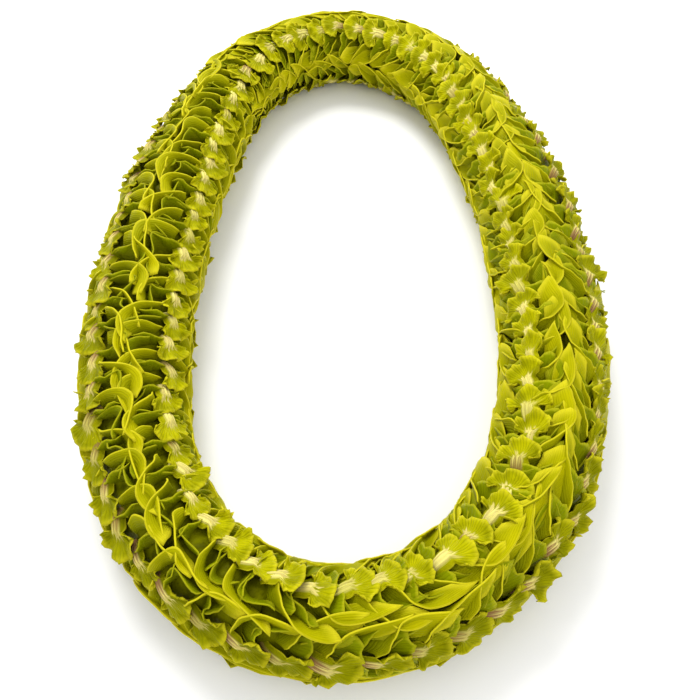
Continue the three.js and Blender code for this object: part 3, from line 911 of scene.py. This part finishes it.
# The veins: how their noise is stretched (across, by number) and scaled, how far it makes them
# wander, and how sharp their lines and grooves are.
VEIN_STRETCH = (1.5, 37.0)
VEIN_NOISE = 2.2
VEIN_WANDER = 1.4
VEIN_SHARPNESS = 5.0
GROOVE_SHARPNESS = 2.0

# The grain of a skin is finer than its patches by this factor, and this share of it makes the
# skin's roughness uneven.
GRAIN_FINENESS = 16.0
GRAIN_SHARE = 0.4

# A claw's streaks: how they are stretched (across, along, by number) and how far they tear its
# end. Then how strong its stripes are, and how brown the grooves between them.
STREAK_STRETCH = (9.0, 1.5, 41.0)
STREAK_TEAR = 0.5
STRIPE_WAVE = 0.1
GROOVE_BROWN = 0.3

# Every petal's bump, the light that goes into it, in metres, and its gloss.
BUMP_STRENGTH = 0.55
GLOW_REACH = (1.0, 0.9, 0.15)
GLOW_DEPTH = 0.0016
GLOSS = 0.07
GLOSS_TINT = (1.0, 0.94, 0.2)


def petal_place(sheet, _given):
    """Where a point lies on its petal, and the blossom's own number."""
    mark = sheet.add("ShaderNodeAttribute", attribute_name="petal")["Vector"]
    along, across, number = sheet.add("ShaderNodeSeparateXYZ", {0: mark})
    outmost = sheet.math("MAXIMUM", sheet.math("ABSOLUTE", across), along)
    return {"Along": along, "Across": across, "Number": number, "Margin": sheet.between(outmost, *MARGIN)}


def petal_veins(sheet, given):
    """Fine veins that run from a petal's root to its tip."""
    across = given["Across"]
    place = sheet.vector(given["Along"], *sheet.stretched((across, given["Number"]), VEIN_STRETCH))
    wander = sheet.times(sheet.minus(sheet.noise(place, VEIN_NOISE), 0.5), VEIN_WANDER)
    lines = sheet.plus(sheet.times(across, given["Count"]), wander)
    saw = sheet.times(sheet.math("ABSOLUTE", sheet.minus(sheet.math("FRACT", lines), 0.5)), 2.0)
    veins, grooves = (sheet.math("POWER", saw, power) for power in (VEIN_SHARPNESS, GROOVE_SHARPNESS))
    return {"Veins": veins, "Height": sheet.times(grooves, -1.0)}


def fresh_skin(sheet, given):
    """The uneven colour and skin of a fresh petal."""
    place = sheet.add("ShaderNodeTexCoord")["Object"]
    patches = sheet.noise(place, given["Scale"], detail=3.0)
    grain = sheet.noise(place, sheet.times(given["Scale"], GRAIN_FINENESS), roughness=0.6)
    uneven = sheet.plus(patches, sheet.times(grain, GRAIN_SHARE))
    roughness = sheet.between(uneven, *ROUGH_SKIN, *ROUGHNESS)
    return {"Patches": sheet.between(patches, *PATCHES), "Grain": grain, "Roughness": roughness}


class MaterialSheet(NodeSheet):
    """The node sheet of a new material, with its shader's sockets and, if it lives, its skin."""

    def __init__(self, name, skin_scale=None):
        self.material = bpy.data.materials.new(name)
        self.material.use_nodes = True
        super().__init__(self.material.node_tree)
        self.shader = self.tree.nodes["Principled BSDF"].inputs
        if skin_scale:
            self.skin = self.group(fresh_skin, "Fresh skin", Scale=skin_scale)

    def dress(self, colour, height, bump_depth, glow):
        """Colour, roughness, bump and a little light through it."""
        bump = {"Strength": BUMP_STRENGTH, "Distance": bump_depth, "Height": height}
        looks = {
            "Base Color": colour,
            "Roughness": self.skin["Roughness"],
            "Normal": self.add("ShaderNodeBump", bump)[0],
            "Subsurface Weight": glow,
            "Subsurface Radius": GLOW_REACH,
            "Subsurface Scale": GLOW_DEPTH,
            "Specular IOR Level": GLOSS,
            "Specular Tint": GLOSS_TINT,
        }
        self.fill(self.shader, looks)
        return self.material


class PetalSheet(MaterialSheet):
    """The same for a petal, with the places on it and its veins."""

    def __init__(self, name, skin_scale, vein_count):
        super().__init__(name, skin_scale)
        self.along, self.across, self.number, self.margin = self.group(petal_place, "Petal place")
        marks = {"Along": self.along, "Across": self.across, "Number": self.number, "Count": vein_count}
        self.veins = self.group(petal_veins, "Petal veins", **marks)

    def patched_veined_and_rim_highlighted(self, colour, deeper, rim, patches, veins, margin):
        """The colour with uneven patches, veins and a painted highlight along the margin."""
        colour = self.tint(colour, deeper, by=self.skin["Patches"], amount=patches)
        colour = self.tint(colour, deeper, by=self.veins["Veins"], amount=veins)
        return self.tint(colour, rim, by=self.margin, amount=margin)

    def relief(self, grain):
        return self.plus(self.veins["Height"], self.times(self.skin["Grain"], grain))


def claw_marks(sheet, colours):
    """Where the pale claw shows on a lip, and its striped colour, with a brown root on some."""
    along, across, number = sheet.along, sheet.across, sheet.number
    streaks = sheet.noise(sheet.vector(*sheet.stretched((across, along, number), STREAK_STRETCH)), 1.0)
    torn_end = sheet.between(sheet.plus(along, sheet.times(streaks, STREAK_TEAR)), *CLAW_END)
    claw = sheet.times(torn_end, sheet.between(sheet.math("ABSOLUTE", across), *CLAW_SIDES))
    claw = sheet.times(claw, sheet.between(sheet.renumbered(number, 13.0), 0.0, 0.5, *CLAW_STRENGTHS))
    wave = sheet.math("COSINE", sheet.times(across, 2 * math.pi * CLAW_STRIPES))
    wave = sheet.times(wave, STRIPE_WAVE)
    stripes = sheet.between(sheet.plus(wave, streaks), *CLAW_STRIPE)
    grooves = Vector(colours.claw).lerp(Vector(colours.claw_root), GROOVE_BROWN)
    striped = sheet.mix(stripes, grooves, colours.claw)
    root = sheet.between(sheet.minus(along, wave), *CLAW_ROOT)
    brown = sheet.times(sheet.between(number, *BROWN_ROOTS), root)
    return claw, sheet.tint(striped, colours.claw_root, by=brown, amount=0.85)


def lip_material(colours):
    """Green-gold ruffled fan with darker veins, a pale ridged claw and a painted highlight along its margin;
    the fans of the outer rows are darker as painted shade.
    """
    sheet = PetalSheet("lip petal", skin_scale=110.0, vein_count=12.0)
    # Painted shade: the fans of the outer rows, whose numbers are over a half, are darker.
    darker = sheet.between(sheet.number, *OUTER_ROW_PAINTED_SHADE, to_high=0.5)
    fan = sheet.tint(colours.fan, colours.fan_deeper_and_painted_shade, by=sheet.skin["Patches"], amount=0.55)
    fan = sheet.mix(darker, fan, colours.fan_deeper_and_painted_shade)
    fan = sheet.tint(fan, colours.fan_deeper_and_painted_shade, by=sheet.veins["Veins"], amount=0.45)
    # Painted highlight along the lip's margin.
    fan = sheet.tint(fan, colours.rim, by=sheet.margin, amount=0.45)
    claw, striped = claw_marks(sheet, colours)
    return sheet.dress(sheet.mix(claw, fan, striped), sheet.relief(grain=0.5), bump_depth=0.0004, glow=0.12)


def hooded_material(name, colours, tip, root, margin):
    """Yellow-green cupped petal, darker toward its root and lower margin as painted shade, with fine veins
    and a painted highlight along its thin rim.
    """
    sheet = PetalSheet(name, skin_scale=70.0, vein_count=6.0)
    # Painted shade: the petal goes to its root colour toward its lower margin and its root, where it goes
    # down into the rope, with a seeded difference between blossoms.
    upward = sheet.between(sheet.across, -0.3, 1.0, to_high=0.5)
    onward = sheet.between(sheet.along, 0.35, 1.0, to_high=0.65)
    own = sheet.renumbered(sheet.number, 7.0)
    own = sheet.between(own, 0.0, 1.0, to_low=-0.15, to_high=0.2, smooth=False)
    painted_light_and_own_tone = sheet.math("ADD", sheet.plus(upward, onward), own, clamp=True)
    colour = sheet.mix(painted_light_and_own_tone, root, tip)
    colour = sheet.patched_veined_and_rim_highlighted(colour, root, colours.rim, patches=0.3, veins=0.25, margin=margin)
    return sheet.dress(colour, sheet.relief(grain=0.4), bump_depth=0.0003, glow=0.1)


def tongue_material(colours):
    """Smooth green tongue petal, darker toward its root as painted shade where it goes down into the rope,
    with a painted highlight along its margin.
    """
    sheet = PetalSheet("tongue petal", skin_scale=85.0, vein_count=4.0)
    root = colours.tongue_deeper_and_painted_shade
    # Painted shade: darker toward the root, where the petal goes down into the rope.
    colour = sheet.mix(sheet.between(sheet.along, 0.15, 0.8), root, colours.tongue)
    colour = sheet.patched_veined_and_rim_highlighted(colour, root, colours.rim, patches=0.35, veins=0.2, margin=0.3)
    return sheet.dress(colour, sheet.relief(grain=0.3), bump_depth=0.0003, glow=0.1)


def heart_material(colours):
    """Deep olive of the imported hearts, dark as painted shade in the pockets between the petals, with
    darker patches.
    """
    sheet = MaterialSheet("packed hearts", skin_scale=160.0)
    darker = tuple(0.45 * part for part in colours.heart)
    colour = sheet.mix(sheet.skin["Patches"], colours.heart, darker)
    return sheet.dress(colour, sheet.skin["Patches"], bump_depth=0.0008, glow=0.05)


def thread_material(colours):
    """Olive cotton thread with fine fibres."""
    sheet = MaterialSheet("stringing thread", skin_scale=420.0)
    paler = tuple(min(1, 1.6 * part) for part in colours.thread)
    colour = sheet.tint(colours.thread, paler, by=sheet.skin["Grain"], amount=0.8)
    sheet.fill(sheet.shader, {"Sheen Weight": 0.3})
    return sheet.dress(colour, sheet.skin["Grain"], bump_depth=0.0002, glow=0.0)


def floor_material(colours):
    """Plain pale floor with a faint tooth."""
    sheet = MaterialSheet("pale floor")
    cloud = sheet.noise(sheet.add("ShaderNodeTexCoord")["Object"], 3.0)
    colour = sheet.mix(cloud, colours.floor, tuple(0.97 * part for part in colours.floor))
    roughness = sheet.between(cloud, 0.3, 0.7, 0.75, 0.85)
    sheet.fill(sheet.shader, {"Base Color": colour, "Roughness": roughness})
    return sheet.material


def each_section(make):
    """One piece for each section of the rope, in place of its CAD node."""
    for section in range(SECTIONS):
        settle(make(section), f"flowers_{section + 1:02d}")


def blossom_numbers(blossoms):
    """Each blossom's own number: up to a half in the inner rows, and over it in the outer ones."""
    # Numbers over a half mark the outer rows, whose lip fans get painted shade.
    return 0.25 + 0.25 * seeded(blossoms.layer, blossoms.row, NUMBER_CHANNEL) + 0.5 * ~blossoms.inner


def upper_and_lower(section):
    """The section's blossoms on top of the rope, and those under it."""
    upper = Blossoms(section)
    lower = Blossoms(section)
    upper.keep(upper.on_top)
    lower.keep(~lower.on_top)
    return upper, lower


def add_petals(name, shape, grids, sides, thickness, material):
    """One piece of like petals for each section."""

    def make(section):
        sheets = []
        for blossoms, grid in zip(upper_and_lower(section), grids):
            for side in sides:
                sheets.append((shape(blossoms, side, grid), blossom_numbers(blossoms), side))
        return make_petals(f"{name}_{section + 1:02d}", sheets, thickness / MM, material)

    each_section(make)


class Step:
    """What every step does round its own build."""

    def execute(self, context):
        self.build(context.scene.lei_sizes, context.scene.lei_colours)
        return {"FINISHED"}


class LEI_OT_lips(Step, bpy.types.Operator):
    """Add the ruffled lips with their pale claws"""

    bl_idname = "lei.lips"
    bl_label = "Lips"

    def build(self, sizes, colours):
        add_petals("lips", lips, LIP_GRIDS, (1,), sizes.lip_thickness, lip_material(colours))


class LEI_OT_crest_petals(Step, bpy.types.Operator):
    """Add the hoods that braid along the four crests"""

    bl_idname = "lei.crest_petals"
    bl_label = "Crest petals"

    def build(self, sizes, colours):
        material = hooded_material("crest petal", colours, colours.crest_tip, colours.crest_deeper_and_painted_shade, margin=0.6)
        add_petals("crest_petals", hoods, HOOD_GRIDS, (-1, 1), sizes.crest_thickness, material)


class LEI_OT_inner_petals(Step, bpy.types.Operator):
    """Add the smaller petals inside the hoods"""

    bl_idname = "lei.inner_petals"
    bl_label = "Inner petals"

    def build(self, sizes, colours):
        material = hooded_material("inner petal", colours, colours.tongue, colours.tongue_deeper_and_painted_shade, margin=0.25)
        add_petals("inner_petals", inner_hoods, INNER_GRIDS, (-1, 1), sizes.crest_thickness, material)


class LEI_OT_tongue_petals(Step, bpy.types.Operator):
    """Add the smooth petals beside each lip"""

    bl_idname = "lei.tongue_petals"
    bl_label = "Tongue petals"

    def build(self, sizes, colours):
        material = tongue_material(colours)
        add_petals("tongue_petals", tongue_petals, TONGUE_GRIDS, (-1, 1), sizes.tongue_thickness, material)


class LEI_OT_hearts(Step, bpy.types.Operator):
    """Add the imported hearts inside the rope"""

    bl_idname = "lei.hearts"
    bl_label = "Packed hearts"

    def build(self, _sizes, colours):
        material = heart_material(colours)

        def make(section):
            points, faces = heart_core(section)
            return make_object(f"hearts_{section + 1:02d}", points, faces, material)

        each_section(make)


class LEI_OT_thread(Step, bpy.types.Operator):
    """Add the twisted thread with its knot and tail"""

    bl_idname = "lei.thread"
    bl_label = "Thread"

    def build(self, _sizes, colours):
        parts = [*thread_strands(), *thread_knot(), *thread_tail()]
        material = thread_material(colours)
        settle(make_object("stringing_thread", *joined(parts), material), "thread")


# The stage, in metres, with the sensor's width in millimetres. A light is a disk: its place, its
# width and its power in watts.
LIGHTS = {"key": ((-0.3, 0.75, 1.0), 0.7, 13), "fill": ((0.6, -0.7, 0.8), 0.9, 2)}
LIGHT_AIM = (0, 0, 0.03)
CAMERA_PLACE = (0.0022, -0.2713, 0.3236)
CAMERA_ELEVATION = math.radians(55)
CAMERA_FOCAL_PIXELS = 760
PHOTO_PIXELS = 700
SENSOR_WIDTH = 36.0
CAMERA_CLIP_START = 0.01


def add_light(name, place, size, power):
    light = bpy.data.lights.new(name, "AREA")
    light.shape = "DISK"
    light.size = size
    light.energy = power
    holder = bpy.data.objects.new(name, light)
    holder.location = place
    holder.rotation_euler = (Vector(LIGHT_AIM) - Vector(place)).to_track_quat("-Z", "Y").to_euler()
    bpy.context.scene.collection.objects.link(holder)


class LEI_OT_stage(Step, bpy.types.Operator):
    """Add the floor, the lights and the camera"""

    bl_idname = "lei.stage"
    bl_label = "Stage"

    def build(self, sizes, colours):
        scene = bpy.context.scene
        half = sizes.floor_width / 2
        corners = [(-half, -half, 0), (half, -half, 0), (half, half, 0), (-half, half, 0)]
        mesh = bpy.data.meshes.new("floor")
        mesh.from_pydata(corners, [], [range(4)])
        mesh.materials.append(floor_material(colours))
        floor = bpy.data.objects.new("floor", mesh)
        scene.collection.objects.link(floor)
        world = bpy.data.worlds.new("studio")
        world.use_nodes = True
        background = world.node_tree.nodes["Background"].inputs
        NodeSheet(world.node_tree).fill(background, {"Color": (1, 1, 1), "Strength": 1.0})
        scene.world = world
        for name, (place, size, power) in LIGHTS.items():
            add_light(name, place, size, power)
        camera = bpy.data.cameras.new("camera")
        camera.sensor_width = SENSOR_WIDTH
        camera.lens = SENSOR_WIDTH * CAMERA_FOCAL_PIXELS / PHOTO_PIXELS
        camera.clip_start = CAMERA_CLIP_START
        holder = bpy.data.objects.new("camera", camera)
        holder.location = CAMERA_PLACE
        holder.rotation_euler = (math.pi / 2 - CAMERA_ELEVATION, 0, 0)
        scene.collection.objects.link(holder)
        scene.camera = holder
        scene.view_settings.view_transform = "Standard"


STEPS = (
    LEI_OT_stage,
    LEI_OT_thread,
    LEI_OT_hearts,
    LEI_OT_tongue_petals,
    LEI_OT_inner_petals,
    LEI_OT_crest_petals,
    LEI_OT_lips,
)


class LEI_PT_panel(bpy.types.Panel):
    """Steps and settings of the lei"""

    bl_idname = "LEI_PT_panel"
    bl_label = "Fresh flower lei"
    bl_space_type = "VIEW_3D"
    bl_region_type = "UI"
    bl_category = "Lei"

    def draw(self, context):
        for step in STEPS:
            self.layout.operator(step.bl_idname)
        for group in (context.scene.lei_sizes, context.scene.lei_colours):
            box = self.layout.box()
            for name in group.__annotations__:
                box.prop(group, name)


CLASSES = (LeiColours, LeiSizes, *STEPS, LEI_PT_panel)


def register():
    for kind in CLASSES:
        bpy.utils.register_class(kind)
    bpy.types.Scene.lei_colours = PointerProperty(type=LeiColours)
    bpy.types.Scene.lei_sizes = PointerProperty(type=LeiSizes)


def unregister():
    del bpy.types.Scene.lei_sizes
    del bpy.types.Scene.lei_colours
    for kind in reversed(CLASSES):
        bpy.utils.unregister_class(kind)


def main():
    register()
    bpy.ops.lei.stage()
    bpy.ops.lei.thread()
    bpy.ops.lei.hearts()
    bpy.ops.lei.tongue_petals()
    bpy.ops.lei.inner_petals()
    bpy.ops.lei.crest_petals()
    bpy.ops.lei.lips()


if __name__ == "__main__":
    main()
